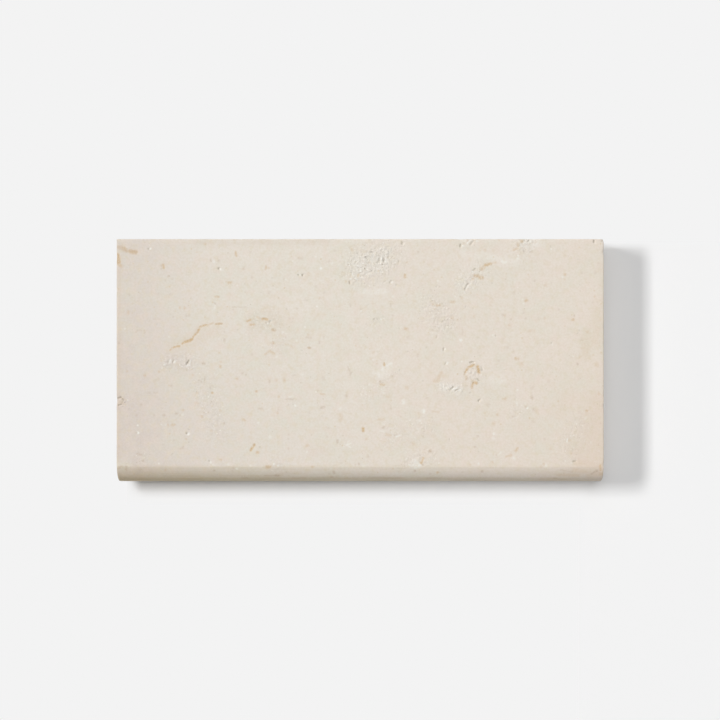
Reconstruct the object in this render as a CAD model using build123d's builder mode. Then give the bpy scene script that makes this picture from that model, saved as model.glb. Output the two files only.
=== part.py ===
"""A limestone pool coping: one sawn slab with a bullnose along one long edge.

The stone lies on its sawn bed. X runs along the pool edge, the nose points to -Y over the water,
the back edge at +Y meets the deck paving, and Z is up. The origin is the centre of the footprint,
on the bed. Millimetres.
"""

import os
from math import sqrt

from build123d import *

# Overall sizes of the sawn block
stone_length = 610.0
stone_width = 305.0
stone_thickness = 50.0

# The nose is ground by a wheel whose radius is a little over half the thickness,
# so its curve meets the worn face and the bed at a slight angle, along a visible line.
nose_overrun = 0.8

# What the brushing leaves of the sharp lines: the nose lines and the sawn arrises are eased
nose_line_easing = 3.0
arris_easing = 1.2

# Sizes that follow from those above
nose_radius = stone_thickness / 2 + nose_overrun
nose_tip_y = -stone_width / 2
nose_centre_y = nose_tip_y + nose_radius
nose_line_y = nose_centre_y - sqrt(nose_radius**2 - (stone_thickness / 2) ** 2)
back_y = stone_width / 2

with BuildPart() as coping_stone:
    # Section across the stone: bed, back edge and worn face are straight, and the nose is one arc
    with BuildSketch(Plane.YZ.offset(-stone_length / 2)) as section:
        with BuildLine():
            Polyline(
                (nose_line_y, 0),
                (back_y, 0),
                (back_y, stone_thickness),
                (nose_line_y, stone_thickness),
            )
            ThreePointArc(
                (nose_line_y, stone_thickness),
                (nose_tip_y, stone_thickness / 2),
                (nose_line_y, 0),
            )
        make_face()
        nose_lines = section.vertices().group_by(Axis.X)[0]
        fillet(nose_lines, radius=nose_line_easing)
    extrude(amount=stone_length)

    # Easing of every sawn arris: both ends' outlines, round the nose too, and the back edge
    end_faces = coping_stone.faces().filter_by(Axis.X)
    back_face = coping_stone.faces().sort_by(Axis.Y)[-1]
    arrises = end_faces.edges() + back_face.edges().filter_by(Axis.X)
    fillet(arrises, radius=arris_easing)

coping_stone.part.label = "coping_stone"

os.makedirs("parts", exist_ok=True)
export_step(coping_stone.part, "parts/coping_stone.step")
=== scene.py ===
import math
import random

import bmesh
import bpy
import numpy as np
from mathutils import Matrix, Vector, noise


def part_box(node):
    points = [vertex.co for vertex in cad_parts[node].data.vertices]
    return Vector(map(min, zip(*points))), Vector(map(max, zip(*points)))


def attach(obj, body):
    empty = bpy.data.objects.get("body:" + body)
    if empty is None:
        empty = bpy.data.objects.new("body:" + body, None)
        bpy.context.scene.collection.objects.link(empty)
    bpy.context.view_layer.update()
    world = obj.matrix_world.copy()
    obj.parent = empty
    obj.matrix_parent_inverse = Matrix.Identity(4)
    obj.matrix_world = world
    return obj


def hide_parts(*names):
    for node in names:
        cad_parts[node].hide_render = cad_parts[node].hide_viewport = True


# The looks of one limestone pool coping: a sawn slab, brushed on its worn face, with a ground bullnose.
# The mesh is modelled in millimetres and scaled to metres at the end.

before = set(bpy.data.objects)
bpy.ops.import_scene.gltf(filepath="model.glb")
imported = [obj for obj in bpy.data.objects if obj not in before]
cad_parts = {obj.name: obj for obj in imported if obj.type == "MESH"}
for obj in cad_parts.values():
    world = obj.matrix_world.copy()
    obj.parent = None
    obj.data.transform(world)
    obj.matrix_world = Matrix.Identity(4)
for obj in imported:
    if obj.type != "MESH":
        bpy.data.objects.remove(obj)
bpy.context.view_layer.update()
print("frame loaded")


def linear(hexColour):
    # sRGB hex to the linear colour that shaders take
    parts = [int(hexColour[i:i + 2], 16) / 255 for i in (1, 3, 5)]
    return [c / 12.92 if c <= 0.04045 else ((c + 0.055) / 1.055) ** 2.4 for c in parts] + [1.0]


def addNode(tree, kind, inputs=None, **settings):
    # Adds a node, sets its properties, and sets or links its inputs by name or number
    node = tree.nodes.new(kind)
    for name, value in settings.items():
        setattr(node, name, value)
    for key, value in (inputs or {}).items():
        if isinstance(value, bpy.types.NodeSocket):
            tree.links.new(value, node.inputs[key])
        else:
            node.inputs[key].default_value = value
    return node


# Camera: straight above the stone, as in the photograph
camera = dict(
    height=1.9,             # above the floor, m
    frameWidth=0.9008,      # what the frame takes in at the height of the worn face, m
    centre=(-0.0003, 0.0010),
    sensor=36.0,            # mm
)


def makeCamera(camera, topHeight):
    data = bpy.data.cameras.new("camera")
    data.sensor_width = camera["sensor"]
    data.lens = camera["sensor"] * (camera["height"] - topHeight) / camera["frameWidth"]
    made = bpy.data.objects.new("camera", data)
    made.location = (*camera["centre"], camera["height"])
    bpy.context.collection.objects.link(made)
    bpy.context.scene.camera = made


# The stone's sizes, in mm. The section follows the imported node's box.
stone = dict(
    node="coping_stone",
    noseOverrun=0.8,        # how much more than half the thickness the grinding wheel's radius is
    noseEasing=0.4,         # from the nose line to where its easing ends
    arris=1.1,
    # The mesh, and how it is made finer round the marks
    noseSteps=30,
    grid=3.4,               # spacing on the worn face
    bedRows=12,
    backRows=9,
    endGrid=6.0,
    endBorder=1.0,
    onPlane=0.01,           # how near counts as on a plane
    fineLevels=((2.4, 3), (1.0, 2), (0.4, 1)),  # reach past a mark's edge, and the softest mark that gets it
    shortestSplit=0.5,      # an edge shorter than this stays whole
    shortestKept=0.03,      # and one shorter than this is merged away
    # Relief: its mean depth, then the size, height and seed of each noise on it
    faceRelief=(0.13, (38, 0.10, 1), (11, 0.03, 2)),
    sideRelief=(0.05, (30, 0.05, 3)),
    arrisRelief=(0.12, (7, 0.12, 4), (2.6, 0.10, 5)),
    arrisReach=1.6,
    # Ragged outlines of the marks, and of the broad ones: size, and how far they are pushed
    ragged=(2.0, 0.6),
    raggedBroad=(6, 1.6),
    broadMark=5,            # a mark wider than this is a broad one, and gets the coarsest mesh
    crispMark=0.6,          # a mark at least this strong has a crisp edge, and gets the finest mesh
    # Factors on the widths and strengths in the lists
    amberReach=0.56,
    brownStrength=0.9,
    dirtAndShadeStrength=0.65,
    openStrength=1.35,
    stainDepth=0.15,        # how far a full amber stain has weathered back
    bleach=(0.8, 1.3, 0.2),     # beside a stain this strong the stone is paler: how far, and how much
    # A pit's hollow: how far along x and y it lies from its dark side, and its reach, in the pit's widths
    bowlShift=(0.5, -0.15),
    bowlReach=0.9,
    bowlDepth=0.75,         # as a share of the pit's depth in the list
    edgePitDepth=0.3,       # the most that relief takes off right on an arris
    # the nose's tint and painted shade reach as far past the nose line as its smoothness
    honedAndShadePast=1.3,          # how far the grinding reaches past the nose line
    # Small pits that the brushing opens: the least and the most of each number
    finePits=dict(count=150, seed=11, x=(-298, 298), y=(-128, 148), width=(0.9, 1.6), turn=(0, math.pi),
                  run=(0.2, 1.6), deep=(0.15, 0.45), dirtAndShade=(0, 0.4)),
    # The nose is painted darker and browner: by depth below the worn face, most of all 12 mm down, and by x.
    # It is partly painted shade on the nose and partly the nose's own tone.
    noseDarkeningDown=((0, 1.2, 6, 8.9, 12, 30, 50), (0.24, 0.15, 0.24, 0.52, 0.74, 0.6, 0.35)),
    noseDarkeningAlong=((-300, -240, -119, 0, 100, 200), (0.3, 0.24, 0.05, -0.1, -0.25, -0.4)),
    # The stone is rosier towards both ends, by x, and more so towards the front
    rosyAlong=((-305, -190, -60, 0, 100, 200, 290), (0.55, 0.12, 0.08, 0.2, 0.4, 0.42, 0.75)),
    rosyFront=((-305, -190, 0, 200, 305), (0.25, 0.1, 0.05, 0.2, 0.4)),
    # It is duller at the left, by x, and also towards the front
    dullAlong=((-305, -280, -190, -90, 0), (0.95, 0.86, 0.32, 0.12, 0)),
    dullFront=((-305, -190, 0, 100, 200, 290), (0.25, 0.25, 0.2, 0.1, 0.1, 0.25)),
)
stoneLow, stoneHigh = [[c * 1000 for c in corner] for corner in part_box(stone["node"])]
stone["length"], stone["width"], stone["thickness"] = [h - l for l, h in zip(stoneLow, stoneHigh)]
stone["noseRadius"] = stone["thickness"] / 2 + stone["noseOverrun"]
stone["noseCentre"] = -stone["width"] / 2 + stone["noseRadius"]
stone["noseReach"] = math.sqrt(stone["noseRadius"] ** 2 - (stone["thickness"] / 2) ** 2)
stone["noseLine"] = stone["noseCentre"] - stone["noseReach"]

# The stone's own marks: strength, width, then the x and y of each point along the mark,
# in mm from the middle of the worn face, x along the nose and y towards the deck.
# Amber: iron stain in veins, cut shells and specks
amberMarks = [
    # faint tints along both ends and at the right of the nose, and two specks
    (0.15, 6.0, -303, 112, -302, 20, -304, -125), (0.14, 14, 298, 62, 294, 24), (0.16, 10, 284, 36, 282, 6),
    (0.14, 26, 296, -55, 294, -90, 298, -122), (0.06, 12, 303, 120, 304, 60),
    (0.15, 5.0, 228, -149, 262, -149), (0.3, 6.0, 268, -137, 282, -139),
    (0.35, 5.0, 250, -143.5, 274, -144), (0.22, 9.0, 272, -127, 292, -129),
    (0.25, 8.0, 288, -144, 300, -142), (0.1, 20, 268, -108, 280, -118), (0.08, 18, 250, -60, 262, -46),
    (0.6, 2.8, -110, 38.8, -107.5, 38), (0.55, 2.2, -65.2, 16.2, -63.2, 16.2),
    # the long branching vein
    (0.9, 2.2, -238, 13.5, -234, 16.5), (0.9, 2.4, -233, 17, -226, 18.5), (0.95, 2.2, -223, 21.5, -217, 24),
    (1.1, 3.2, -219, 23.5, -214, 25, -210.5, 27), (0.9, 2.4, -210.5, 27, -209, 30, -206, 33),
    (1.0, 2.6, -204, 35.5, -201.5, 39.5), (0.95, 2.4, -200, 42.5, -197, 44, -191.5, 44.5),
    (0.5, 1.6, -190, 45, -184, 47.5), (0.85, 2.4, -181, 46, -173, 46.5), (0.12, 22, -124, 50, -96, 50),
    (0.13, 15, -234, 17, -205, 27, -194, 36, -180, 40), (0.3, 4.5, -221, 22.5, -211, 27),
    (0.3, 4.0, -207, 32, -201.5, 41),
    # a broken ring of shell beside it
    (0.75, 2.2, -141.5, 49.5, -137, 51.5), (0.35, 2.0, -136, 52, -133, 52.5),
    (0.7, 2.6, -137, 45, -132.5, 45.5), (0.5, 2.2, -129, 54.5, -126.5, 53),
    (0.9, 2.8, -122, 52.5, -117, 52), (0.65, 2.8, -109, 22.5),
    (0.45, 2.2, -119, 8, -117, 9.5, -113, 12.5, -108, 9),
    # the cut shell to the right
    (0.5, 2.0, 130.5, -17, 131.8, -14),
    (0.95, 2.6, 131.8, -14, 133, -11.5, 135.5, -8.5, 139, -6.5, 142.5, -5.2),
    (0.45, 3.4, 132.5, -20, 132.5, -22.5), (1.1, 3.4, 147.3, -7.5, 148.2, -14),
    (0.85, 3.0, 139.8, -33, 140.8, -28.5, 143, -27), (0.9, 3.0, 143, -27.5, 145.5, -28),
    (0.3, 2.0, 139, -24, 141, -25), (0.15, 5.0, 133, -30), (0.4, 4.0, 93, -25.5, 97.5, -25),
    (0.4, 3.6, 98, -22, 101.5, -15), (0.25, 4.0, 104, -19),
    # stains at the back left corner
    (0.35, 5.0, -303, 142, -297, 142), (0.65, 4.0, -297, 141.5, -292, 138),
    (0.35, 3.0, -291, 137.5, -287, 137.5), (0.8, 4.6, -288, 137, -281, 136),
    (1.1, 5.0, -304, 132, -302.5, 124), (0.6, 3.6, -302.5, 121.5, -299, 118.5),
    # strokes and seams along the back
    (0.7, 2.4, -156, 136, -155, 131.5), (0.55, 4.0, 152, 115, 154.5, 117), (0.9, 3.2, 156.5, 120, 159, 120),
    (0.8, 2.6, 160, 120.5, 163.5, 121.5), (0.4, 2.2, 166, 122.5, 169, 123),
    (0.7, 3.4, 143.5, 106.5, 147, 106.2), (0.7, 3.8, 149.5, 104, 152.5, 104), (0.55, 2.4, 141, 102.5),
    (0.5, 2.4, 192, 138.5, 197, 141), (0.45, 3.0, 197.5, 143.5, 197.5, 147), (0.65, 3.6, 202, 149.5),
    (0.75, 2.6, 56, 107.5, 56, 104.5), (0.25, 2.4, -14, 99, -13.5, 96.5), (0.4, 2.2, -18, 99.5),
    (0.5, 2.2, -1.5, 108, -3, 106), (0.35, 2.4, -11, 140, -10, 138), (0.4, 3.0, 127.5, 78.5),
    (0.45, 3.2, 113.5, 73.5, 117, 73.5), (0.6, 3.0, 256, 108), (0.3, 2.4, 256, 102),
    (0.4, 3.0, 231.5, 94.5), (0.4, 3.0, -246, 120), (0.7, 2.8, -246.5, 120, -246, 116.5),
    (0.5, 3.0, -194, 146.5), (0.6, 2.4, -165, 97.5, -161, 98), (0.6, 2.2, -181, 80.3, -177.5, 80),
    (0.6, 2.4, -118, 118, -118, 115), (0.35, 2.2, -114.5, 116.5), (0.3, 4.0, -64.5, 108),
    (0.35, 2.4, -51.5, 78), (0.35, 3.0, 11, 123), (0.4, 2.2, 58.5, 123), (0.65, 2.8, 207, 75, 208, 75.5),
    (0.3, 3.0, 293.5, 80), (0.3, 3.0, 156, 139),
    # the middle
    (0.45, 3.0, -225.5, 66.5), (0.4, 3.0, -220, 66), (0.4, 2.4, -290, 62, -290, 59),
    (0.55, 3.0, 56.5, 40, 58.5, 40), (0.4, 2.4, 91, 70.5), (0.5, 2.6, 96, 69, 99.5, 69.5),
    (0.35, 4.0, 115.5, 54), (0.3, 3.4, 142.5, 55.5), (0.3, 2.6, 16.5, 10.5), (0.3, 2.6, 13, 2.5),
    (0.8, 2.4, 29.8, -3, 30, -5.5), (0.35, 2.0, 20.5, -3.5), (0.3, 3.0, -65, 33), (0.3, 3.0, -86, 17.5),
    (0.35, 1.6, -94, 20.5, -90, 20.5), (0.35, 3.0, 231, 53), (0.75, 3.2, 266, 51.5), (0.4, 2.6, 181, 56.5),
    (0.4, 3.0, 186.5, 44.5), (0.22, 3.0, 211.5, 37.5, 218, 37.5), (0.5, 3.0, 194.5, 2.5, 197.5, 2.5),
    (0.35, 4.4, 202, -4), (0.4, 4.5, 284, 36), (0.2, 3.4, 284.5, 28, 284.5, 24), (0.3, 3.4, 284, 11),
    (0.25, 3.0, 277, 15.5), (0.3, 3.2, 280, 20.5), (0.3, 3.2, 275, 4.5), (0.65, 2.8, -175, -7.5),
    (0.35, 2.4, -174.5, -1), (0.5, 3.2, -154, -22.5), (0.65, 2.8, -269.5, -18.5), (0.4, 3.0, -252, -13.5),
    (0.4, 2.4, -291.5, -13), (0.45, 2.4, -209.5, -18), (0.8, 2.8, -185, -40), (0.3, 3.0, -204, -40),
    (0.3, 2.4, -207, -53, -203, -53), (0.65, 2.8, -130, -38), (0.45, 2.2, -49, -41.5, -45, -42),
    (0.3, 4.0, -105, -24), (0.35, 4.0, -95, -24), (0.35, 3.0, -102, -45), (0.4, 3.0, -222, -61.5),
    (0.35, 3.0, -198.5, -69.5), (0.35, 3.4, -175, -62.5), (0.4, 2.4, -147, -73.5, -144, -74.5),
    (0.4, 2.6, -103.5, -65.5), (0.5, 2.4, -240.5, -80), (0.5, 2.2, -235.5, -80.5, -232, -80),
    (0.35, 3.0, -186, -87.5), (0.3, 5.0, -24.5, -69, -24.5, -73), (0.65, 2.2, 25.5, -29.5, 30, -30),
    (0.3, 4.0, 34.5, -44.5), (0.3, 4.0, 58, -33.5), (0.3, 2.4, 90, -63.5, 98, -64),
    (0.3, 2.2, 22, -73.5, 30, -73.5), (0.25, 3.0, 73, -65), (0.45, 2.6, 179, -47.8, 182, -47.8),
    (0.7, 3.0, 283.5, -62.5), (0.3, 4.0, 283.5, -66.5), (0.45, 2.8, 171.5, -67.5), (0.3, 2.4, 173.5, -20),
    (0.3, 3.6, 167, -78), (0.4, 4.0, 298.5, -41), (0.3, 5.0, 296, -5), (0.25, 4.0, 221, -62.5),
    # the front and the nose
    (1.0, 2.8, 3.5, -84.5, 3.5, -88), (0.35, 2.4, 33, -92.5, 38, -93.5), (0.3, 3.0, 7.5, -98),
    (0.7, 2.4, 77.4, -126, 78.8, -121.5), (0.9, 3.2, 76.5, -127.5), (0.25, 4.0, 104, -108.5),
    (0.3, 5.0, 67, -103.5), (0.4, 2.8, -67.5, -106.5, -65, -106), (1.0, 2.6, -137, -112, -132.5, -105),
    (0.7, 3.4, -128.5, -114.5), (0.55, 3.2, -174.5, -124), (0.4, 2.2, -218, -98),
    (0.6, 2.6, 194.5, -112.5, 197, -109.5), (0.75, 2.8, 188.5, -118), (0.45, 2.0, 182, -120, 187, -118.5),
    (0.4, 3.2, 165.5, -127), (0.35, 2.2, 261, -99.8, 263.5, -99.8), (0.4, 3.0, 264.5, -116),
    (0.4, 2.6, 137.5, -130), (0.35, 3.0, 229.5, -129.5), (0.25, 3.0, 238, -110),
    (0.75, 4.0, -116.5, -133, -114, -133), (0.5, 3.0, -60, -133), (0.6, 2.8, 97, -140),
    (0.4, 3.0, -244, -137), (0.75, 2.8, 300, -131, 301, -137), (0.5, 6.0, 301.5, -142),
    (0.3, 3.0, 226, -132.5),
]

# Brown and grey-brown specks and scratches
brownMarks = [
    (0.15, 9.0, -205, 149, -40, 149), (0.06, 22, -105, 22), (0.3, 6.0, -304, -142),
    (0.1, 14, -60, -116, -44, -113), (0.5, 3.6, -287.5, 137.5, -281, 136), (0.4, 4.0, -303, 142, -292, 138),
    (0.5, 4.4, -304, 131, -303, 124), (0.3, 2.0, -218, 23.5, -211, 26), (0.35, 1.6, -181, 46, -173, 46.5),
    (0.25, 3.0, -116.5, -133, -114, -133), (0.3, 1.8, -202, 39, -206, 33), (0.5, 2.4, -300, -46, -296, -48),
    (0.4, 2.4, -303, -55), (0.55, 4.0, -299.5, -51.5, -297.5, -53), (0.45, 3.0, -109.5, 38.5, -107, 38.5),
    (0.5, 2.4, -65.2, 16.2, -62.6, 16.2), (0.45, 2.2, -249, 119), (0.4, 2.0, -249, 115),
    (0.6, 2.4, -239.5, 106), (0.3, 2.2, -234.5, 102), (0.4, 2.2, -270, 148.5), (0.3, 2.4, -239.5, 144),
    (0.3, 3.2, -253, 83.5), (0.3, 3.0, -238, 83), (0.3, 3.0, -289, 82.5), (0.5, 2.2, -187, 125.5),
    (0.35, 3.0, -177, 125), (0.4, 3.0, -146, 115), (0.4, 2.2, -96, 102.5), (0.3, 3.0, -135.5, 104.5),
    (0.4, 3.0, -114.5, 85), (0.3, 3.0, -77, 128, -73, 128), (0.3, 2.4, -69.5, 145), (0.35, 2.8, -55.5, 93),
    (0.3, 2.8, -45, 85), (0.3, 3.0, -32, 138), (0.5, 1.8, -2, 100.5), (0.4, 3.0, 72.5, 136),
    (0.3, 3.0, 88, 88.5), (0.4, 2.4, 129, 147), (0.4, 2.4, 134, 150), (0.4, 2.0, 99.5, 93),
    (0.35, 2.0, 125.5, 113.5), (0.35, 2.0, 57.5, 83), (0.5, 2.0, 125, 80.5), (0.5, 2.4, 218, 100),
    (0.35, 2.4, 239, 98), (0.35, 3.4, 192, 85), (0.6, 2.0, 203.5, 145), (0.3, 3.0, 277, 110),
    (0.3, 3.0, 294, 110), (0.35, 2.4, 298, 122), (0.3, 3.0, 214, 136.5), (0.5, 2.4, -302, 22),
    (0.25, 1.2, -259, 52, -251, 52), (0.3, 1.8, -281, 36, -276, 38.5, -273.5, 38),
    (0.45, 2.0, -270, 37.5, -270, 35), (0.35, 3.0, -218, 56.5), (0.35, 3.0, -214, 56.5),
    (0.3, 2.4, -237.5, 58), (0.3, 2.4, -234, 55), (0.45, 1.8, -183, 73, -181, 71),
    (0.45, 2.2, -170, 27.5, -170, 25), (0.3, 2.2, -170, 36), (0.35, 1.2, -160, 67.3, -143, 67.3),
    (0.5, 2.2, 0.5, 64.5), (0.35, 2.0, 38, 71.5, 38, 68), (0.4, 2.0, 40.5, 57),
    (0.45, 1.8, -12.5, 71.5, -12.5, 68.5), (0.3, 3.0, -135, 8), (0.3, 2.2, -88, 53), (0.3, 2.2, -84, 53),
    (0.45, 2.0, -51, 24, -51, 22), (0.4, 2.0, -45.5, 30), (0.3, 2.6, -67, 29, -62, 29),
    (0.4, 2.0, 72, 8, 72, 5), (0.35, 2.0, 91, 38.5), (0.3, 1.8, 128, 39, 128, 33), (0.25, 4.0, 60, 29),
    (0.3, 3.0, 148, 11), (0.5, 2.6, 178.3, 57.5), (0.5, 2.2, 188.5, 52), (0.3, 3.0, 204.5, 60),
    (0.3, 2.6, 207, 53), (0.3, 3.0, 223, 53), (0.45, 2.4, 248.5, 64), (0.6, 2.2, 267.5, 56.5),
    (0.4, 2.4, 291, 73), (0.25, 5.0, 184, 16), (0.3, 3.0, 191.5, 11.5), (0.45, 2.8, 173, 0),
    (0.75, 2.8, 272, -4), (0.3, 4.0, 277, 26), (0.3, 3.0, 274, -22), (0.6, 3.0, -197, -3.5, -195, -3.5),
    (0.45, 2.8, -147.5, -15.5), (0.5, 2.2, -143, -17.5), (0.45, 2.8, -236, -31), (0.25, 2.4, -285, -22),
    (0.25, 2.6, -258, -26, -252, -22), (0.35, 1.5, -198, -22, -198.5, -27),
    (0.45, 1.6, -194, -20, -195.5, -26), (0.3, 2.2, -185, -32), (0.3, 2.2, -188, -33),
    (0.35, 2.2, -266, -40, -263, -40), (0.3, 2.2, -258, -40, -255, -40), (0.5, 2.8, -274, -55),
    (0.55, 2.2, -247, -68, -244.5, -68), (0.35, 2.4, -258, -68), (0.45, 2.6, -280, -68),
    (0.7, 2.6, -230, -66), (0.4, 2.0, -225.5, -68), (0.45, 2.8, -195.5, -65), (0.5, 2.4, -170, -78),
    (0.35, 2.4, -113.5, -24.5, -113.5, -27), (0.4, 1.8, -84, -18.3, -80.5, -18), (0.3, 4.0, -46, -22),
    (0.3, 2.4, -53, -37), (0.5, 3.4, -17.5, -44), (0.4, 1.8, -15.5, -8, -13, -13),
    (0.45, 1.8, -13, -18, -11, -14.5), (0.4, 1.6, -92.5, -48, -88, -48), (0.6, 1.9, -88, -48, -83.5, -48),
    (0.35, 2.2, -90, -55), (0.55, 3.0, -49, -59, -46, -58), (0.4, 2.2, -127, -60, -123, -59.5),
    (0.4, 2.0, -102.5, -61), (0.3, 3.0, -64, -65), (0.65, 2.4, 25, -26), (0.35, 3.0, 40.5, -19.5),
    (0.35, 3.0, 38, -60), (0.35, 2.4, 50.5, -70), (0.25, 3.0, 83, -46.5), (0.3, 1.8, 100, -33),
    (0.3, 1.8, 97, -30.5), (0.55, 2.8, 215, -47, 215, -45), (0.6, 3.0, 217, -61), (0.5, 2.0, 207.5, -57.5),
    (0.3, 3.4, 235.5, -26), (0.25, 4.5, 215, -33.5), (0.3, 4.0, 160, -55),
    (0.35, 2.0, 190.5, -69.5, 193, -70), (0.4, 2.2, 301, -78.5), (0.3, 3.0, 216, -76),
    (0.85, 2.8, 28.8, -83.3), (0.35, 1.5, 43, -93, 46, -91.5), (0.35, 2.0, 80, -88), (0.9, 3.2, 87.5, -113),
    (0.55, 2.2, 78.5, -130), (0.5, 2.6, 147, -94), (0.6, 2.2, 143.5, -107.5), (0.35, 3.0, 10, -120),
    (0.3, 2.0, 27, -112), (0.55, 2.6, -28.5, -99.5, -28.5, -102.5), (0.3, 2.4, -41.5, -95),
    (0.35, 2.4, -39.5, -84), (0.35, 2.0, -89.5, -92), (0.35, 2.0, -89.5, -98), (0.3, 2.0, -90, -110),
    (0.4, 2.4, -24, -127.5), (0.6, 2.6, -1.5, -129), (0.4, 2.0, -6, -130), (0.55, 2.6, -132.5, -105),
    (0.6, 2.4, -272, -125), (0.55, 2.0, -279, -116.5, -273.5, -118), (0.4, 2.6, -225, -110, -222, -108.5),
    (0.25, 3.0, -246, -105), (0.3, 2.4, -233, -99.5), (0.5, 1.6, -280, -90), (0.3, 3.0, 231, -98),
    (0.35, 1.8, 170.5, -118), (0.35, 2.4, 298.5, -105), (0.3, 2.4, 265, -111), (0.35, 2.8, -69, 76),
    (0.35, 2.8, -113, 86), (0.35, 2.8, -137, 136), (0.35, 2.6, -39, 124), (0.4, 2.6, -79, 65),
    (0.3, 2.6, -93, 29), (0.35, 2.6, -104, -129), (0.3, 2.6, -159, 64),
    # on the nose
    (0.5, 3.0, -303, -135, -298, -132.5), (0.6, 3.0, -293, -132.5, -293, -137),
    (0.25, 3.6, -277, -136.5, -274, -136.5), (0.6, 3.0, -183, -137.5), (0.45, 2.6, -158.5, -134.5),
    (0.5, 2.4, -160, -138), (0.5, 1.6, -120, -144, -103, -144), (0.8, 3.0, -106, -144, -103, -144),
    (0.4, 2.4, -92.5, -139.5), (0.6, 3.0, -33, -139, -33, -141), (0.4, 3.4, -36, -146),
    (0.4, 2.6, -39, -142), (0.7, 2.8, 68.5, -138), (0.35, 2.4, 48, -138), (0.4, 2.4, 88, -142),
    (0.75, 3.0, 152.5, -138.5), (0.3, 2.4, 128, -139.5), (1.0, 3.4, 296, -138),
    (0.6, 2.4, 290, -142, 294, -139), (0.3, 3.0, 251, -137, 265, -139), (0.5, 4.0, 245, -148),
    (0.35, 4.0, -148, -147.5, -143, -147.5), (0.3, 4.0, -83, -147.5, -70, -147.5),
    (0.3, 4.0, 12, -147.5, 50, -147.5), (0.3, 4.0, 85, -147.5, 100, -147.5),
]
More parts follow.
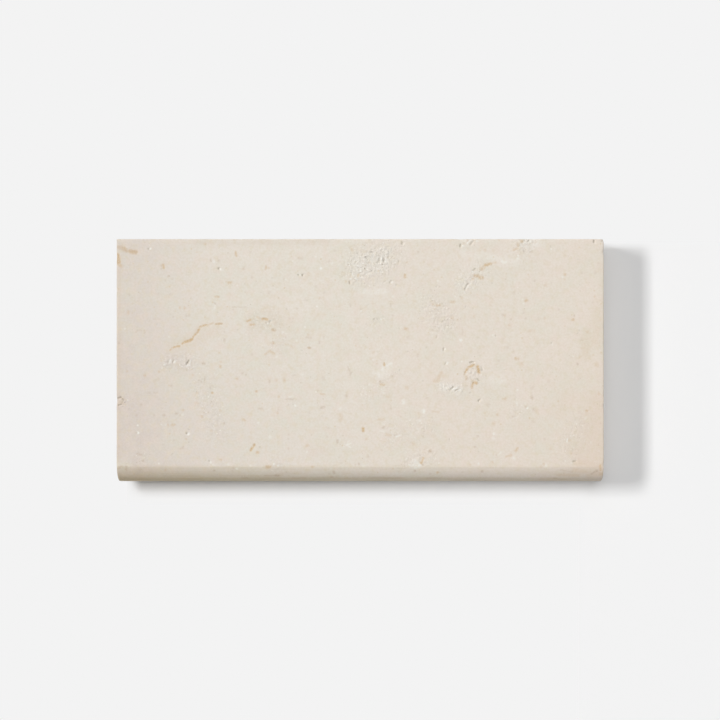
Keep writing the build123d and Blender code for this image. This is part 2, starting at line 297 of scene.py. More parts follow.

# Chalky white: freshly broken calcite, and painted highlight on the lit far walls of open pits
chalkAndHighlightMarks = [
    (0.9, 2.6, -262.5, 140.5), (0.4, 2.4, -264, 144.5), (0.6, 3.0, -183, 124), (0.95, 2.8, -174.5, 114.5),
    (0.5, 2.4, -93, 102), (0.8, 1.8, -75.3, 107.5), (0.9, 3.0, -49, 115.5), (0.5, 3.0, -35, 122),
    (0.8, 2.4, -12, 102.5), (0.7, 2.6, -9.5, 108.5), (0.8, 2.2, -6, 103, -3.5, 101.5),
    (0.55, 3.0, 13, 128, 16, 131, 18, 136), (0.4, 1.8, 9, 130), (1.0, 2.2, 25.5, 123, 27, 128),
    (0.6, 2.0, 23.5, 130), (0.8, 2.2, 31, 124.5, 33, 127.5), (0.5, 2.0, 41, 126),
    (0.5, 2.0, 9, 114.5, 11, 113), (0.5, 2.2, 17.5, 116.5), (0.6, 2.8, 40, 98), (0.9, 2.8, 128.5, 143.5),
    (0.8, 1.8, 134, 147, 138, 151.5), (0.5, 2.4, 140, 150), (0.5, 2.0, 210, 149), (0.7, 3.0, 146, 150),
    (0.8, 2.2, 140.5, 111.5), (0.6, 2.0, 132, 91, 135, 93), (0.6, 2.2, 136.5, 99, 138, 97),
    (0.7, 2.4, 97, 100), (0.5, 2.4, 119, 80), (0.5, 3.0, 23, 88), (0.5, 3.0, 41, 80.5),
    (0.6, 4.0, 177, 125, 182, 123), (0.5, 1.6, 191, 136, 195, 137.5), (0.7, 1.5, 206.5, 147, 209.5, 151.5),
    (0.7, 1.5, 212.5, 147, 213.5, 151.5), (0.5, 1.5, 217.5, 147, 219, 150.5), (0.6, 4.0, 197, 127.5),
    (0.5, 2.4, 253, 105), (0.4, 2.4, 203, 77), (0.5, 3.0, 204, 72), (0.35, 7.0, 3, 86, 31, 87),
    (0.25, 9.0, 128, 135, 195, 124), (0.45, 12, 204, 147, 220, 147), (0.35, 26, 2, 118, 26, 128),
    (0.2, 22, 130, 96, 150, 112), (0.35, 12, 104, -33, 122, -36), (0.12, 24, 142, -18),
    # the middle
    (0.5, 3.0, -145, 44), (0.45, 2.0, -123, 56, -118, 55), (0.8, 1.6, -116, 46, -111, 50.5),
    (0.5, 2.2, -109, 44.5), (0.4, 2.4, -124, 55), (0.6, 3.0, -97, 36), (0.4, 3.0, -93, 34.5),
    (0.6, 2.6, -79.5, 25), (0.4, 1.6, -182, 65, -181.5, 69), (0.5, 2.0, -202.5, 33.5),
    (0.35, 2.4, -186, 43.5), (0.35, 3.0, -239, 30), (0.8, 1.8, -239, -2.5, -237.5, 1),
    (0.9, 1.8, -232.8, -2, -231, 1), (0.5, 3.0, -244.5, -4.5), (0.5, 2.4, -217, -6.5, -213, -4),
    (0.5, 1.8, -213, -1.5, -212, 0.5), (0.5, 3.4, -104.5, 5), (0.8, 2.6, 26, 52), (0.7, 2.4, 99, 66),
    (0.6, 2.2, 91, 56), (0.8, 3.8, 125.5, 26), (0.7, 2.2, 106.5, 14.5), (0.4, 2.0, 101.5, 13),
    (0.7, 2.0, 108.5, -4.5, 109.5, -2), (0.4, 2.0, 79, 5), (0.8, 2.4, 166, 32), (0.4, 2.0, 169, 22),
    (0.4, 2.4, 240.5, 20.5), (0.6, 3.0, 39, -3, 33, -6), (0.6, 3.2, 27, -12, 28.5, -9),
    (0.4, 3.4, 24, -20, 24, -16), (0.3, 3.4, 17, -15, 20, -15), (0.3, 12.0, 26, -15, 34, -8),
    (0.9, 2.0, 118, -35.5, 121, -33), (0.8, 1.9, 123, -37, 126.5, -35.5), (0.5, 3.0, 107, -33),
    (0.5, 2.0, 29, -40), (0.8, 4.4, 79.5, -63), (0.6, 4.0, 54, -50, 54, -53), (0.5, 3.0, 75, -74.5),
    (0.3, 12.0, 164, -22, 176, -24), (0.7, 3.2, -73, -17), (0.5, 2.0, -61, -25), (0.4, 3.0, -127, -42),
    (0.4, 2.0, -89, -45, -84, -44), (0.9, 2.6, -81.5, -56), (0.4, 1.6, -28, -58, -24.5, -52.5),
    (0.4, 2.2, -26, -60.5, -24, -58.5), (0.5, 3.0, -127.5, -77.5), (0.5, 3.0, -222, -67),
    (0.85, 2.4, 209, -59), (0.3, 2.4, 206.5, -53), (0.35, 1.8, 196, -56, 196, -51), (0.4, 4.0, 282, -72),
    (0.4, 1.8, 193, -71, 197, -71), (0.4, 2.4, -248.5, -80), (0.4, 2.4, -243.5, -80),
    # the front and the nose
    (0.4, 1.6, 27, -79.5, 31, -79), (0.35, 1.6, 24, -87.5, 30, -88.5), (0.8, 2.0, 45, -95, 49, -93),
    (0.4, 3.0, 72, -85), (0.5, 6.0, 64, -131, 69, -125, 74, -131), (0.7, 5.0, 69, -133, 73, -132),
    (0.6, 3.0, -66.5, -114), (0.7, 1.8, -20.5, -107, -12, -103), (0.6, 1.6, -17, -105.5, -12, -108.5),
    (0.4, 1.5, -16.5, -104.5, -15.5, -101), (0.5, 2.0, -42, -107.5), (0.75, 3.2, -113, -95),
    (0.6, 3.0, -187, -127), (0.45, 3.0, -184, -130), (0.8, 2.4, -215.5, -92.5, -214.5, -90.5),
    (0.9, 3.0, -278, -90), (0.9, 3.0, 167, -91), (0.4, 3.0, 167, -97), (0.85, 1.9, 259, -97.5, 258.5, -101),
    (0.5, 4.0, 192, -122), (0.4, 1.9, 172.5, -117.5, 176.5, -114), (0.4, 2.2, 264, -128),
    (0.5, 4.4, 232.5, -131.5), (0.7, 2.8, 148, -128.5), (0.5, 3.0, -165, -130), (0.4, 3.0, 289, -102),
    (0.8, 3.0, -154.5, -135), (0.6, 2.6, -108, -129), (0.6, 2.6, -103, -131), (0.5, 3.4, -137, -131),
    (0.5, 4.0, 4, -132), (0.4, 3.0, -36, -135), (0.5, 2.4, -291, -49),
]

# Pits and open seams: how dark the dirt and the painted shade on their dark side are, width and depth, then
# the points
pits = [
    (0.6, 2.2, 0.9, -265.5, 140.5), (0.9, 2.4, 1.0, -177.5, 115.5), (0.8, 2.0, 0.6, -77.8, 107.5),
    (1.0, 2.4, 1.0, -72.7, 107.5), (0.6, 1.8, 0.7, -13.8, 98.5, -13.5, 96.5), (0.5, 1.8, 0.6, -11.5, 110.5),
    (0.4, 2.2, 0.5, 11, 136, 15, 136), (0.4, 1.8, 0.5, 6.5, 129.5, 9, 127), (0.4, 2.2, 0.5, 21, 123),
    (0.45, 2.4, 1.0, 23.4, 127.5, 23.4, 125), (0.6, 2.4, 1.0, 28.8, 127.5, 28.8, 125.5),
    (0.3, 1.6, 0.4, 39, 129.5, 40, 131), (0.4, 2.2, 0.4, 47.5, 124.5), (0.4, 1.8, 0.5, 5.5, 116, 7, 114),
    (0.4, 1.9, 0.5, 38, 100, 37, 98), (0.45, 2.2, 0.5, 44.5, 95), (0.6, 2.4, 0.8, 52, 148.5, 52, 146.5),
    (0.7, 2.2, 0.9, 125, 145.5, 125, 143.5), (0.45, 2.0, 0.6, 137, 145.5, 141, 150),
    (0.7, 1.9, 0.7, 141, 113.5, 144, 115.5), (0.35, 1.6, 0.5, 130.5, 89, 132, 92.5),
    (0.5, 1.8, 0.6, 132.5, 93.5, 135, 97), (0.35, 1.8, 0.4, 95, 93),
    (0.8, 2.4, 0.8, 292, 150.5, 292, 148.5), (0.5, 2.2, 0.6, 303, 150), (0.3, 1.5, 0.4, 209, 149, 211, 151),
    (0.5, 2.0, 0.4, 205, 151), (0.3, 1.8, 0.5, -241, -2.5, -240, -0.5),
    (0.6, 1.7, 0.6, -234.8, -1.5, -233.5, 1), (0.9, 1.8, 0.8, -216.5, -2.5, -214.5, 0.5),
    (0.6, 1.6, 0.5, -218, -4.5, -216.5, -2.5), (0.55, 2.0, 0.6, -118, 47.5),
    (0.5, 1.5, 0.5, -114, 48.5, -112, 50), (0.55, 2.0, 0.6, 17, 52.5), (0.4, 2.0, 0.5, 21, 52.5),
    (0.6, 2.2, 0.7, 104, 15.5, 104, 13.5), (0.3, 1.6, 0.4, 107, -2, 105.5, -4.5),
    (0.45, 1.6, 0.5, 169, 31.5), (0.5, 1.8, 0.5, 239, 22.5), (0.8, 2.0, 0.8, 137, -2, 141, -1.5),
    (0.5, 1.8, 0.5, 151.3, -8, 152, -12), (0.55, 2.0, 0.6, 146.5, -22, 148, -24.5),
    (0.55, 2.2, 1.0, 113, -35.5, 116, -33.2), (0.55, 1.8, 0.6, 118.5, -37.2, 122, -36),
    (0.75, 2.0, 0.7, 147.5, -50, 149.3, -48.3), (0.5, 1.8, 0.5, -84, -54.5), (0.7, 2.4, 1.0, -217.7, -90.5),
    (0.55, 2.2, 0.6, -189.5, -125), (0.8, 2.2, 0.8, 266.5, -125.5, 268.5, -125.5),
    (0.9, 2.0, 0.7, -303, -46.5, -299.5, -45.5), (0.75, 1.7, 0.6, -297.5, -47.5, -296.5, -49),
    (0.7, 1.5, 0.5, -294.8, -52), (0.9, 1.9, 0.7, -302.5, -55.5, -299.5, -54.5),
    (0.7, 1.5, 0.5, -298, -51.5), (0.5, 1.3, 0.4, -297, -57),
]

# Nicks broken out of the arrises: depth, width, then x and y
nicks = [
    (0.8, 6.0, 305, 135.5), (1.3, 8.0, 305, 152.5), (0.8, 8.0, -305, -50.5), (0.5, 7.0, -305, 130),
    (0.5, 4.0, 305, 20), (0.5, 4.0, 305, 43), (0.5, 4.0, 305, -42), (0.5, 4.0, 305, -57),
    (0.6, 5.0, 305, -130), (0.6, 9.0, 127, 152.5), (0.5, 8.0, 216, 152.5), (0.4, 4.0, -150, 152.5),
    (0.4, 4.0, -305, 88),
]

# Where the brushing has opened the stone most: strength, width, then the points
openBeds = [
    (0.9, 44, 2, 118, 26, 128), (0.7, 34, 92, 66, 104, 50), (0.8, 26, 206, 146),
    (0.6, 26, 130, 96, 150, 112), (0.8, 24, 142, -18), (0.7, 14, 100, -33, 124, -36),
    (0.7, 22, -240, -2, -216, -2), (0.6, 26, -136, 48, -112, 50), (0.5, 30, -195, -28, -180, -88),
    (0.4, 30, 40, -92, 78, -84), (0.5, 24, 60, -126, 84, -120), (0.5, 22, 196, -62),
    (0.4, 26, -98, 30, -112, 14), (0.5, 22, -105, -130), (0.5, 20, 20, 54), (0.4, 30, 274, -74, 262, -112),
    (0.5, 20, -276, -122), (0.4, 24, 8, -40, 40, -20),
]


def faceHeight(y):
    # Height of the stone's upper surface at y: flat, then down the nose
    drop = np.clip(stone["noseCentre"] - y, stone["noseReach"], stone["noseRadius"])
    return stone["thickness"] / 2 + math.sqrt(stone["noseRadius"] ** 2 - drop ** 2)


def onFace(path, across=0.0, along=0.0):
    # A mark's x and y numbers as points on the stone's upper surface, moved by a little if asked
    return np.array([(x + across, y + along, faceHeight(y + along)) for x, y in zip(path[::2], path[1::2])])


def distanceTo(places, line):
    # Shortest distance from each place to a line of points, in mm
    if len(line) == 1:
        return np.linalg.norm(places - line[0], axis=1)
    nearest = np.full(len(places), np.inf)
    for start, end in zip(line, line[1:]):
        run = end - start
        along = np.clip((places - start) @ run / (run @ run), 0, 1)
        nearest = np.minimum(nearest, np.linalg.norm(places - start - along[:, None] * run, axis=1))
    return nearest


def near(places, line, reach):
    # The numbers of the places inside the line's box, grown by reach
    inside = (places > line.min(0) - reach).all(1) & (places < line.max(0) + reach).all(1)
    return np.flatnonzero(inside)


def placesOf(bm):
    return np.array([v.co for v in bm.verts])


def edgesOf(faces):
    # Each edge of these faces once, and always in the same order, so that every run makes the same mesh
    return list(dict.fromkeys(e for f in faces for e in f.edges))


def buildStone(bm, stone):
    half = stone["length"] / 2
    top, back = stone["thickness"], stone["width"] / 2

    def endFaces(least):
        # The flat faces of both sawn ends that are larger than this, in square mm
        return [f for f in bm.faces if abs(f.normal.x) > 0.99 and f.calc_area() > least
                and abs(f.calc_center_median().x) > half - stone["onPlane"]]

    # Nose: one vertex spun about the grinding wheel's centre
    first = bm.verts.new((-half, stone["noseLine"], top))
    sweep = 2 * math.atan2(top / 2, stone["noseReach"])
    bmesh.ops.spin(bm, geom=[first], cent=(-half, stone["noseCentre"], top / 2), axis=(1, 0, 0),
                   dvec=(0, 0, 0), angle=sweep, steps=stone["noseSteps"], use_merge=False)
    bm.verts.ensure_lookup_table()
    arc = list(bm.verts)
    corners = [bm.verts.new((-half, back, 0)), bm.verts.new((-half, back, top))]
    bm.faces.new(arc + corners)
    # Easing of the two nose lines
    bmesh.ops.bevel(bm, geom=[arc[0], arc[-1]], offset=stone["noseEasing"], segments=3, profile=0.5,
                    affect="VERTICES", material=-1)
    # Rows across the worn face, the back edge and the bed, which are the section's three longest edges
    backRun, *flatRuns = sorted(bm.edges, key=lambda e: e.calc_length())[-3:]
    bedRun, faceRun = sorted(flatRuns, key=lambda e: e.verts[0].co.z)
    faceRows = round(faceRun.calc_length() / stone["grid"])
    for run, rows in ((backRun, stone["backRows"]), (bedRun, stone["bedRows"]), (faceRun, faceRows)):
        bmesh.ops.subdivide_edges(bm, edges=[run], cuts=rows - 1)
    # The slab
    made = bmesh.ops.extrude_face_region(bm, geom=list(bm.faces), use_keep_orig=True)
    moved = [g for g in made["geom"] if isinstance(g, bmesh.types.BMVert)]
    bmesh.ops.translate(bm, verts=moved, vec=(stone["length"], 0, 0))
    bmesh.ops.recalc_face_normals(bm, faces=bm.faces)
    lengthways = [e for e in bm.edges if abs(e.verts[0].co.x - e.verts[1].co.x) > half]
    bmesh.ops.subdivide_edges(bm, edges=lengthways, cuts=round(stone["length"] / stone["grid"]) - 1,
                              use_grid_fill=True)
    # Arrises round both ends and along the back edge, beveled together so that the corners close
    arrises = edgesOf(endFaces(0))
    for edge in bm.edges:
        middle = (edge.verts[0].co + edge.verts[1].co) / 2
        if middle.y > back - stone["onPlane"] and min(middle.z, top - middle.z) < stone["onPlane"]:
            arrises.append(edge)
    bmesh.ops.bevel(bm, geom=arrises, offset=stone["arris"], segments=3, profile=0.5, affect="EDGES",
                    material=-1)
    # A border and a grid on each end, whose faces are one large one before, and over 4 square mm after
    bmesh.ops.inset_region(bm, faces=endFaces(1000), thickness=stone["endBorder"])
    for axis, low, high in ((1, -back, back), (2, 0, top)):
        normal = Vector((0, 0, 0))
        normal[axis] = 1
        for i in range(1, math.ceil((high - low) / stone["endGrid"])):
            ends = endFaces(4)
            corners = list(dict.fromkeys(v for f in ends for v in f.verts))
            bmesh.ops.bisect_plane(bm, geom=corners + edgesOf(ends) + ends, plane_no=normal, dist=0.02,
                                   plane_co=normal * (low + i * stone["endGrid"]))
    print("slab", len(bm.verts), "vertices")


def bowl(width, path):
    # A pit's hollow reaches past its dark side to the right, where its far wall catches the light
    across, along = stone["bowlShift"]
    return onFace(path, across * width, along * width), stone["bowlReach"] * width


def allMarks():
    # Every mark as its line, half its width, and how soft its edge is, from 1 to 3
    marks = []
    for strength, width, *path in amberMarks + brownMarks + chalkAndHighlightMarks:
        soft = 1 if strength >= stone["crispMark"] else 2
        marks.append((onFace(path), width / 2, 3 if width > stone["broadMark"] else soft))
    for _, width, _, *path in pits:
        marks.append((*bowl(width, path), 1))
    for _, width, *path in nicks:
        marks.append((onFace(path), width / 2, 2))
    return marks


def refine(bm, stone):
    # Halves the mesh round each mark, up to three times, so that its edges are real shape
    marks = allMarks()
    for reach, softest in stone["fineLevels"]:
        bm.faces.ensure_lookup_table()
        centres = np.array([f.calc_center_median() for f in bm.faces])
        chosen = set()
        for line, radius, soft in marks:
            if soft <= softest:
                found = near(centres, line, radius + reach)
                chosen.update(found[distanceTo(centres[found], line) < radius + reach].tolist())
        edges = edgesOf(bm.faces[i] for i in sorted(chosen) if abs(bm.faces[i].normal.x) < 0.5)
        edges = [e for e in edges if e.calc_length() > stone["shortestSplit"]]
        bmesh.ops.subdivide_edges(bm, edges=edges, cuts=1, use_grid_fill=True, use_single_edge=True)
        # Faces with a middle point on one side would split into slivers, so they are split well here
        manySided = [f for f in bm.faces if len(f.verts) > 4]
        bmesh.ops.triangulate(bm, faces=manySided, quad_method="BEAUTY", ngon_method="BEAUTY")
        print("refined to", len(bm.verts), "vertices")
    bmesh.ops.dissolve_degenerate(bm, dist=stone["shortestKept"], edges=bm.edges)


def addFinePits(pits, fine):
    # Small pits strewn over the worn face
    draw = random.Random(fine["seed"])
    for _ in range(fine["count"]):
        x, y, width, turn, run, deep, dirtAndShade = (
            draw.uniform(*fine[name]) for name in ("x", "y", "width", "turn", "run", "deep", "dirtAndShade"))
        pits.append((dirtAndShade, width, deep, x, y, x + run * math.cos(turn), y + run * math.sin(turn)))


def fade(distance, radius, softness):
    # 1 inside a mark and 0 outside, with a smooth edge that reaches this share of the radius in and out
    t = np.clip((radius * (1 + softness) - distance) / (2 * softness * radius), 0, 1)
    return t * t * (3 - 2 * t)


def noiseAt(places, size, seed):
    # Smooth noise from -1 to 1 at each place, with bumps about this many mm across
    shift = Vector((seed * 31.7, seed * 17.3, seed * 7.9))      # a seed moves to another part of the noise
    return np.array([noise.noise(Vector(p) / size + shift) for p in places])


def relief(places, mean, *noises):
    # How far the surface lies back at each place: a mean depth with noises on it
    return sum(height * noiseAt(places, size, seed) for size, height, seed in noises) + mean


def ragged(places, size, amount):
    # The places pushed about, so that the marks drawn at them get broken outlines
    noise.seed_set(5)       # or else noise_vector differs from run to run
    return places + amount * np.array([noise.noise_vector(Vector(p) / size) for p in places])


def distanceToArris(places, stone):
    # How far each place is from the nearest sawn arris
    toEnd, toBack = stone["length"] / 2 - abs(places[:, 0]), stone["width"] / 2 - places[:, 1]
    fromCentre = np.hypot(places[:, 1] - stone["noseCentre"], places[:, 2] - stone["thickness"] / 2)
    toNose = np.where(places[:, 1] > stone["noseLine"], np.inf, stone["noseRadius"] - fromCentre)
    toSurface = np.minimum(np.minimum(stone["thickness"] - places[:, 2], places[:, 2]), toNose)
    return np.minimum(np.maximum(toEnd, np.minimum(toSurface, toBack)),
                      np.maximum(toBack, np.minimum(toSurface, toEnd)))


def wearStone(bm, stone):
    # Moves the vertices for the relief, and paints each mark's strength on them
    bm.normal_update()
    places = placesOf(bm)
    normals = np.array([v.normal for v in bm.verts])
    half, back = stone["length"] / 2, stone["width"] / 2
    up = np.clip((normals[:, 2] - 0.2) / 0.6, 0, 1)     # 1 on the worn face, 0 on the sides and the bed
    depth = up * relief(places, *stone["faceRelief"]) + (1 - up) * relief(places, *stone["sideRelief"])
    toArris = distanceToArris(places, stone)
    depth += fade(toArris, stone["arrisReach"], 0.6) * relief(places, *stone["arrisRelief"])
    drawn = ragged(places, *stone["ragged"])
    drawnBroad = ragged(places, *stone["raggedBroad"])
    paint = {name: np.zeros(len(places)) for name in ("amber", "brown", "chalkAndHighlight", "dirtAndShade", "open")}

    def lay(name, line, radius, strength, softness, at):
        found = near(at, line, radius * (1 + softness))
        cover = fade(distanceTo(at[found], line), radius, softness)
        paint[name][found] = np.maximum(paint[name][found], cover * strength)
        return found, cover

    bleachFrom, bleachReach, bleached = stone["bleach"]
    for strength, width, *path in amberMarks:
        found, cover = lay("amber", onFace(path), width * stone["amberReach"], strength, 0.8, drawn)
        depth[found] += stone["stainDepth"] * cover * strength
        if strength >= bleachFrom:
            lay("chalkAndHighlight", onFace(path), width / 2 + bleachReach, bleached, 0.5, drawn)
    for strength, width, *path in brownMarks:
        lay("brown", onFace(path), width / 2, strength * stone["brownStrength"], 1.0, drawn)
    for strength, width, *path in chalkAndHighlightMarks:
        at = drawnBroad if width > stone["broadMark"] else drawn
        lay("chalkAndHighlight", onFace(path), width / 2, strength, 0.8, at)
    for dirtAndShade, width, deep, *path in pits:
        # dirt, with painted shade on the pit's dark side, the wall turned from the softbox
        lay("dirtAndShade", onFace(path), width / 2, dirtAndShade * stone["dirtAndShadeStrength"], 0.8, drawn)
        line, radius = bowl(width, path)
        found = near(drawn, line, radius)
        depth[found] += stone["bowlDepth"] * deep * fade(distanceTo(drawn[found], line), radius * 0.65, 0.6)
    for strength, width, *path in openBeds:
        lay("open", onFace(path), width / 2, strength * stone["openStrength"], 0.9, drawnBroad)
    # Relief on an arris stays shallow
    places -= normals * np.minimum(depth, stone["edgePitDepth"] + toArris)[:, None]
    for deep, width, *path in nicks:
        # All of a nick moves one way, so that the arris doesn't fold
        outwards = (np.sign(path[0]) * (abs(path[0]) > half - 1), path[1] > back - 1, 1)
        found = near(drawnBroad, onFace(path), width)
        cover = fade(distanceTo(drawnBroad[found], onFace(path)), width / 2, 0.8)
        places[found] -= deep * cover[:, None] * np.array(Vector(outwards).normalized())
    for vert, place in zip(bm.verts, places):
        vert.co = place
    print("worn")
    return paint | finishes(placesOf(bm), normals, stone)


def finishes(places, normals, stone):
    # The ground nose, painted darker down its front partly as shade, and the sawn sides and bed, and where
    # the stone itself is rosy or dull
    x = places[:, 0]
    front = np.clip(-places[:, 1] / 150, -0.5, 1)       # grows from the back edge to the nose
    drop = stone["thickness"] - places[:, 2]
    nose = (places[:, 1] < stone["noseLine"] + stone["honedAndShadePast"]) & (abs(normals[:, 0]) < 0.7)
    sawn = (abs(normals[:, 0]) >= 0.7) | (normals[:, 1] > 0.7) | ((normals[:, 2] < -0.7) & ~nose)
    noseDarkening = np.interp(drop, *stone["noseDarkeningDown"])
    noseDarkening += np.interp(x, *stone["noseDarkeningAlong"]) * np.clip(0.3 + drop / 6, 0, 1)     # full from 4 mm down
    rosy = np.interp(x, *stone["rosyAlong"]) + front * np.interp(x, *stone["rosyFront"])
    dull = np.interp(x, *stone["dullAlong"]) + front * np.interp(x, *stone["dullFront"])
    return dict(honedAndShade=nose * np.clip(noseDarkening, 0.02, 1), sawn=sawn.astype(float),
                rosy=np.clip(rosy, 0, 1), dull=np.clip(dull, 0, 1))


def limestone():
    # Cream fossil limestone: fine-grained and matt, so it reads warm, soft and slightly chalky. Iron stains
    # it amber in places. The worn face is brushed, the nose ground smooth, and the other sides are as the saw
    # left them.
    made = bpy.data.materials.new("cream_limestone")
    made.use_nodes = True
    tree = made.node_tree
    shader = tree.nodes["Principled BSDF"]
    coords = addNode(tree, "ShaderNodeTexCoord")
    inMm = addNode(tree, "ShaderNodeVectorMath", {0: coords.outputs["Object"], "Scale": 1000.0},
                   operation="SCALE").outputs[0]
    mask = {name: addNode(tree, "ShaderNodeAttribute", attribute_name=name).outputs["Fac"]
            for name in ("amber", "brown", "chalkAndHighlight", "dirtAndShade", "open", "honedAndShade", "sawn", "rosy", "dull")}

    def mottle(size, detail, low, high, seed):
        # Mottling with bumps of this size in mm, one number or one for each axis. It is 0 where the noise
        # is at low and 1 where it is at high.
        sizes = size if isinstance(size, tuple) else (size, size, size)
        moved = addNode(tree, "ShaderNodeMapping", {"Vector": inMm, "Location": (seed, seed * 2, seed * 3),
                                                    "Scale": tuple(1 / each for each in sizes)})
        grain = addNode(tree, "ShaderNodeTexNoise", {"Vector": moved.outputs[0], "Scale": 1.0,
                                                     "Detail": detail})
        return addNode(tree, "ShaderNodeMapRange", {"Value": grain.outputs["Fac"], "From Min": low,
                                                    "From Max": high}).outputs[0]

    def specks(size, reach, keep, seed):
        # Scattered specks: one in each cell of this size in mm, out to this reach as a share of it, and only
        # in the cells whose own random number is above keep
        moved = addNode(tree, "ShaderNodeMapping", {"Vector": inMm,
                                                    "Location": (seed * 13, seed * 7, seed * 5)})
        cells = addNode(tree, "ShaderNodeTexVoronoi", {"Vector": moved.outputs["Vector"], "Scale": 1 / size})
        spot = addNode(tree, "ShaderNodeMapRange", {"Value": cells.outputs["Distance"], "From Min": reach,
                                                    "From Max": reach * 0.3}, interpolation_type="SMOOTHSTEP")
        lot = addNode(tree, "ShaderNodeSeparateColor", {"Color": cells.outputs["Color"]})
        kept = addNode(tree, "ShaderNodeMapRange", {"Value": lot.outputs["Red"], "From Min": keep})
        return addNode(tree, "ShaderNodeMath", {0: spot.outputs["Result"], 1: kept.outputs["Result"]},
                       operation="MULTIPLY").outputs[0]

    broken = mottle(1.8, 1, 0.15, 0.5, 19)      # breaks up the stains
    # Layers of colour on the plain stone, from the lowest: how each is laid, its colour, and what says where,
    # all multiplied together
    layers = (
        ("MIX", "#E8DBCF", mask["rosy"]),
        ("MULTIPLY", "#F0EFF2", mask["dull"]),
        # clouds in the stone, greener or pinker than the rest, and its fine mottling
        ("MIX", "#DFDDCE", mottle(30, 2, 0.4, 0.75, 3), 0.42),
        ("MIX", "#E8D9CD", mottle(12, 2, 0.45, 0.7, 7), 0.38),
        ("MIX", "#E0D5BF", mottle(7, 2, 0.5, 0.75, 11), 0.5),
        ("MULTIPLY", "#F9F7F3", mottle(2.6, 5, 0.7, 0.3, 5)),
        # specks too small and too many to place by hand
        ("MIX", "#D8C6A8", specks(9, 0.18, 0.5, 1), 0.75),
        ("MIX", "#C9BBA6", specks(7, 0.14, 0.6, 3), 0.75),
        ("MIX", "#F2EEE6", specks(14, 0.13, 0.65, 2), 0.8),
        # light and dark crumbs where the stone is open
        ("MIX", "#FBF8F1", specks(3.6, 0.32, 0.2, 6), mask["open"]),
        ("MIX", "#C2B59F", specks(3.9, 0.28, 0.4, 8), mask["open"]),
        # the marks that are listed
        # chalk, and painted highlight on the lit far walls of the pits
        ("MIX", "#F2F0E9", mask["chalkAndHighlight"], mottle(3.2, 2, 0.25, 0.55, 23)),
        ("MIX", "#D1B58E", mask["amber"], broken),
        ("MIX", "#C3AE96", mask["brown"], broken),
        # dirt in the pits, and painted shade on their walls turned from the softbox
        ("MIX", "#A99F8A", mask["dirtAndShade"]),
        # runs of water have streaked the nose lengthways, and it is painted darker and browner down its
        # front, partly as painted shade
        ("MIX", "#CDBCA2", mottle((46, 2.6, 2.6), 3, 0.45, 0.75, 27), mask["honedAndShade"], 0.7),
        ("MULTIPLY", "#E7DEC2", mask["honedAndShade"]),
    )
    colour = linear("#E9E2D8")
    for blend, tint, where, *factors in layers:
        for factor in factors:
            where = addNode(tree, "ShaderNodeMath", {0: where, 1: factor}, operation="MULTIPLY").outputs[0]
        colour = addNode(tree, "ShaderNodeMix", {0: where, 6: colour, 7: linear(tint)}, data_type="RGBA",
                         blend_type=blend).outputs[2]
    tree.links.new(colour, shader.inputs["Base Color"])

    # Brushed and matt on the face, smoother on the nose, driest where it is sawn or chalky
    roughness = 0.68
    for where, more in ((mottle(3, 2, 0.2, 0.8, 15), 0.08), (mask["honedAndShade"], -0.16), (mask["sawn"], 0.10),
                        (mask["chalkAndHighlight"], 0.10)):
        roughness = addNode(tree, "ShaderNodeMath", {0: where, 1: more, 2: roughness},
                            operation="MULTIPLY_ADD").outputs[0]
    tree.links.new(roughness, shader.inputs["Roughness"])

    # Relief too fine for the mesh: its height in mm, its pattern and how much of it shows. First the brush's
    # hollows, deepest where the stone is open, then the grain, drawn coarser than the real one, which
    # wouldn't show, and the saw's lines.
    opened = addNode(tree, "ShaderNodeMath", {0: mask["open"], 1: 3.2, 2: 0.2},
                     operation="MULTIPLY_ADD").outputs[0]
    below = {}
    for height, pattern, share in (
        (0.22, mottle(3.4, 3, 0.3, 0.7, 9), opened),
        (0.04, mottle(0.9, 4, 0.2, 0.8, 13), 1.0),
        (0.06, mottle((70, 70, 1.6), 2, 0.3, 0.7, 17), mask["sawn"]),
    ):
        shown = addNode(tree, "ShaderNodeMath", {0: pattern, 1: share}, operation="MULTIPLY").outputs[0]
        bump = addNode(tree, "ShaderNodeBump", {"Height": shown, "Distance": height / 1000, "Strength": 1.0,
                                                **below})
        below = {"Normal": bump.outputs["Normal"]}
    tree.links.new(bump.outputs["Normal"], shader.inputs["Normal"])
    return made


# Light: a softbox up and to the left, in a dim pale room under a bright patch of ceiling a little behind the
# stone. Metres.
light = dict(
    softbox=(-1.283, 0.385, 1.270),
    softboxSize=(0.44, 0.76),
    softboxShare=0.386,     # of the light that reaches the floor
    room=0.123,             # from every side
    ceiling=3.31,           # straight from the bright patch
    ceilingSpread=11.0,     # the higher, the smaller the patch
    ceilingTowards=(0.054, 0.282, 0.958),
    paper="#F3F3F3",        # the floor, and what stands behind it
    floorReach=20.0,
    floorGap=0.0002,        # below the stone, so that the two don't share a plane
    # The floor's shaded parts. Each line: an axis, two places on it, and how much of the shade shows at each.
    # They lie to the right of the stone, in front of it, and along the line where it touches the floor.
    # Where less than all of the shade shows, plain paper is mixed in over it, which is painted light: it
    # lightens the shadow in front towards the right and trims the shadow's far edges.
    shade=(
        (("X", 0.280, 0.295, 0, 1), ("Y", 0.1425, 0.1530, 1, 0)),
        (("Y", -0.130, -0.115, 1, 0), ("X", -0.301, -0.282, 0, 1), ("X", -0.2, 0.15, 1, 0.89),
         ("Y", -0.185, -0.165, 0, 1)),
        (("X", -0.3090, -0.3075, 0, 1), ("X", 0.3080, 0.3095, 1, 0), ("Y", 0.1545, 0.1560, 1, 0),
         ("Y", -0.1545, -0.1530, 0, 1)),
    ),
)


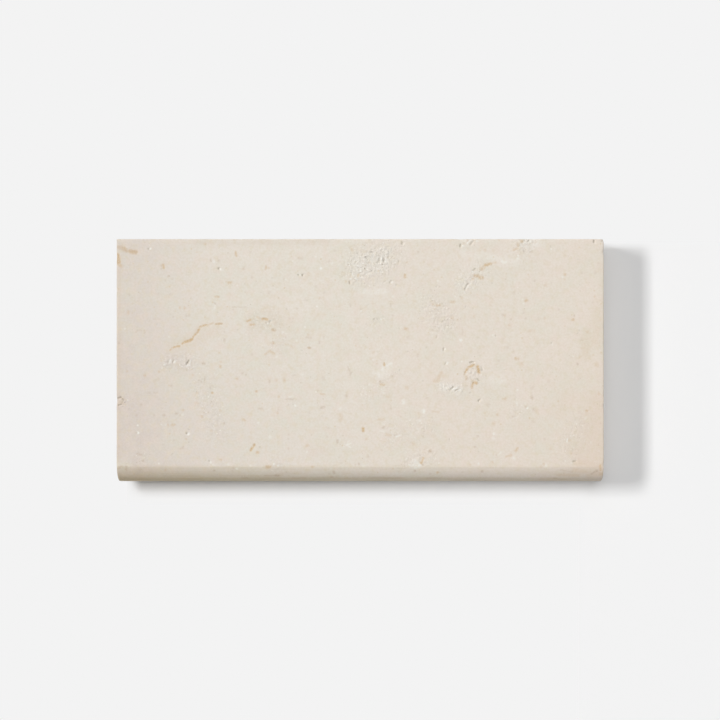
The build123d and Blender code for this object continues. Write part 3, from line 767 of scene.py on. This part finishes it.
def makeSoftbox(light):
    data = bpy.data.lights.new("softbox", "AREA")
    data.shape = "RECTANGLE"
    data.size, data.size_y = light["softboxSize"]
    area = data.size * data.size_y
    data.energy = math.pi * area                # a radiance of 1, which the falloff then sets
    data.use_nodes = True
    tree = data.node_tree
    # The falloff undoes the distance, so that the floor is lit evenly from edge to edge
    path = addNode(tree, "ShaderNodeLightPath")
    level = light["softboxShare"] * math.pi / (light["softbox"][2] ** 2 * area)
    away = addNode(tree, "ShaderNodeMath", {0: path.outputs["Ray Length"], 1: 2.0}, operation="POWER")
    even = addNode(tree, "ShaderNodeMath", {0: away.outputs[0], 1: level}, operation="MULTIPLY")
    fall = addNode(tree, "ShaderNodeLightFalloff", {"Strength": even.outputs[0]})
    tree.links.new(fall.outputs["Constant"], tree.nodes["Emission"].inputs["Strength"])
    made = bpy.data.objects.new("softbox", data)
    made.location = light["softbox"]
    bpy.context.collection.objects.link(made)


def makeRoom(light):
    world = bpy.data.worlds.new("room")
    bpy.context.scene.world = world
    world.use_nodes = True
    tree = world.node_tree
    # The camera, glass and gloss see plain paper, and everything else sees the room's light
    path = addNode(tree, "ShaderNodeLightPath")
    seen = path.outputs["Is Camera Ray"]
    for kind in ("Is Transmission Ray", "Is Glossy Ray"):
        seen = addNode(tree, "ShaderNodeMath", {0: seen, 1: path.outputs[kind]},
                       operation="MAXIMUM").outputs[0]
    shown = addNode(tree, "ShaderNodeBackground", {"Color": linear(light["paper"]), "Strength": 1.0})
    fill = tree.nodes["Background"]
    fill.inputs["Color"].default_value = (1, 1, 1, 1)
    towards = addNode(tree, "ShaderNodeTexCoord")
    facing = addNode(tree, "ShaderNodeVectorMath", {0: towards.outputs["Generated"],
                                                    1: light["ceilingTowards"]},
                     operation="DOT_PRODUCT").outputs["Value"]
    for operation, amount in (("MAXIMUM", 0.0), ("POWER", light["ceilingSpread"]),
                              ("MULTIPLY", light["ceiling"]), ("ADD", light["room"])):
        facing = addNode(tree, "ShaderNodeMath", {0: facing, 1: amount}, operation=operation).outputs[0]
    tree.links.new(facing, fill.inputs["Strength"])
    both = addNode(tree, "ShaderNodeMixShader", {0: seen, 1: fill.outputs[0], 2: shown.outputs[0]})
    tree.links.new(both.outputs[0], tree.nodes["World Output"].inputs["Surface"])


def makeFloor(light):
    bmFloor = bmesh.new()
    bmesh.ops.create_grid(bmFloor, x_segments=1, y_segments=1, size=light["floorReach"])
    mesh = bpy.data.meshes.new("floor")
    bmFloor.to_mesh(mesh)
    bmFloor.free()
    floor = bpy.data.objects.new("floor", mesh)
    floor.location.z = -light["floorGap"]
    bpy.context.collection.objects.link(floor)
    # Matt white paper, with no gloss at all
    paper = bpy.data.materials.new("pale_paper")
    paper.use_nodes = True
    tree = paper.node_tree
    shader = tree.nodes["Principled BSDF"]
    shader.inputs["Base Color"].default_value = linear(light["paper"])
    shader.inputs["Roughness"].default_value = 1.0
    shader.inputs["Specular IOR Level"].default_value = 0.0
    # To the left of the stone and behind it the camera sees the paper blank. The shadow falls to the right
    # and in front.
    place = addNode(tree, "ShaderNodeSeparateXYZ", {0: addNode(tree, "ShaderNodeTexCoord").outputs["Object"]})
    shaded = 0.0
    for part in light["shade"]:
        inside = 1.0
        for axis, start, end, first, last in part:
            side = addNode(tree, "ShaderNodeMapRange", {"Value": place.outputs[axis], "From Min": start,
                                                        "From Max": end, "To Min": first, "To Max": last})
            inside = addNode(tree, "ShaderNodeMath", {0: side.outputs[0], 1: inside},
                             operation="MULTIPLY").outputs[0]
        shaded = addNode(tree, "ShaderNodeMath", {0: inside, 1: shaded}, operation="MAXIMUM").outputs[0]
    # Where a part shows less than all of its shade, the blank paper mixed over that shade is painted light
    path = addNode(tree, "ShaderNodeLightPath")
    blank = addNode(tree, "ShaderNodeMath", {0: 1.0, 1: shaded}, operation="SUBTRACT")
    blank = addNode(tree, "ShaderNodeMath", {0: blank.outputs[0], 1: path.outputs["Is Camera Ray"]},
                    operation="MULTIPLY")
    plain = addNode(tree, "ShaderNodeEmission", {"Color": linear(light["paper"]), "Strength": 1.0})
    both = addNode(tree, "ShaderNodeMixShader", {0: blank.outputs[0], 1: shader.outputs[0],
                                                 2: plain.outputs[0]})
    tree.links.new(both.outputs[0], tree.nodes["Material Output"].inputs["Surface"])
    mesh.materials.append(paper)


makeCamera(camera, stone["thickness"] / 1000)
makeSoftbox(light)
makeRoom(light)
makeFloor(light)
print("camera, light and floor made")
addFinePits(pits, stone["finePits"])
bm = bmesh.new()
buildStone(bm, stone)
refine(bm, stone)
paint = wearStone(bm, stone)
bmesh.ops.scale(bm, vec=(0.001, 0.001, 0.001), verts=bm.verts)
mesh = bpy.data.meshes.new("limestone_coping")
bm.to_mesh(mesh)
bm.free()
for name, values in paint.items():
    mesh.attributes.new(name, "FLOAT", "POINT").data.foreach_set("value", values)
mesh.shade_smooth()
mesh.materials.append(limestone())
coping = bpy.data.objects.new("limestone_coping", mesh)
bpy.context.collection.objects.link(coping)
print("stone made with", sum(len(p.vertices) - 2 for p in mesh.polygons), "triangles")
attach(coping, "root")
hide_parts(stone["node"])
bpy.context.scene.view_settings.view_transform = "Standard"
print("done")
